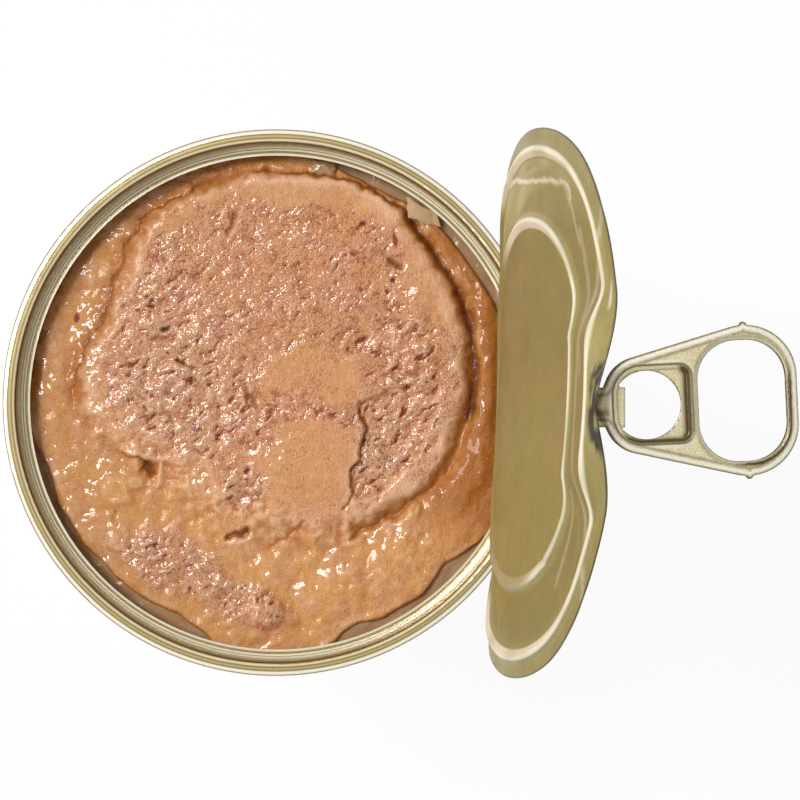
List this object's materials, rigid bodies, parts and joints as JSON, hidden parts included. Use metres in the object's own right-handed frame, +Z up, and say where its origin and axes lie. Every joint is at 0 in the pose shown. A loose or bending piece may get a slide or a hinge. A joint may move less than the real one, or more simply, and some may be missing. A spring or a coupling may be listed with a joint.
{
  "type": "opened food can",
  "caption": "Opened round food can with a beaded wall, its lid peeled up at one side with a lifted ring pull, and a meat loaf set in jelly inside.",
  "frame": {"origin": "centre of the can's foot ring, on the surface it stands on", "axes": "+Z up along the can's axis; +X towards the side where the peeled lid is still joined"},
  "size_m": [0.1366, 0.103, 0.204],
  "materials": {
    "body_tinplate": "gold-lacquered tinplate, satin",
    "end_tinplate": "gold-lacquered tinplate, bright",
    "lid_tinplate": "gold-lacquered tinplate with a fine rolled grain",
    "pull_metal": "pale gold lacquer over formed sheet, satin",
    "loaf": "moist ground-meat loaf, torn surface",
    "jelly": "wet translucent jelly"
  },
  "bodies": {
    "root": {"can_body": "body_tinplate", "bottom_end": "end_tinplate", "end_ring": "end_tinplate", "lid_panel": "lid_tinplate", "pull_tab": "pull_metal", "rivet": "pull_metal", "meat_loaf": "loaf", "jelly": "jelly"}
  },
  "joints": []
}
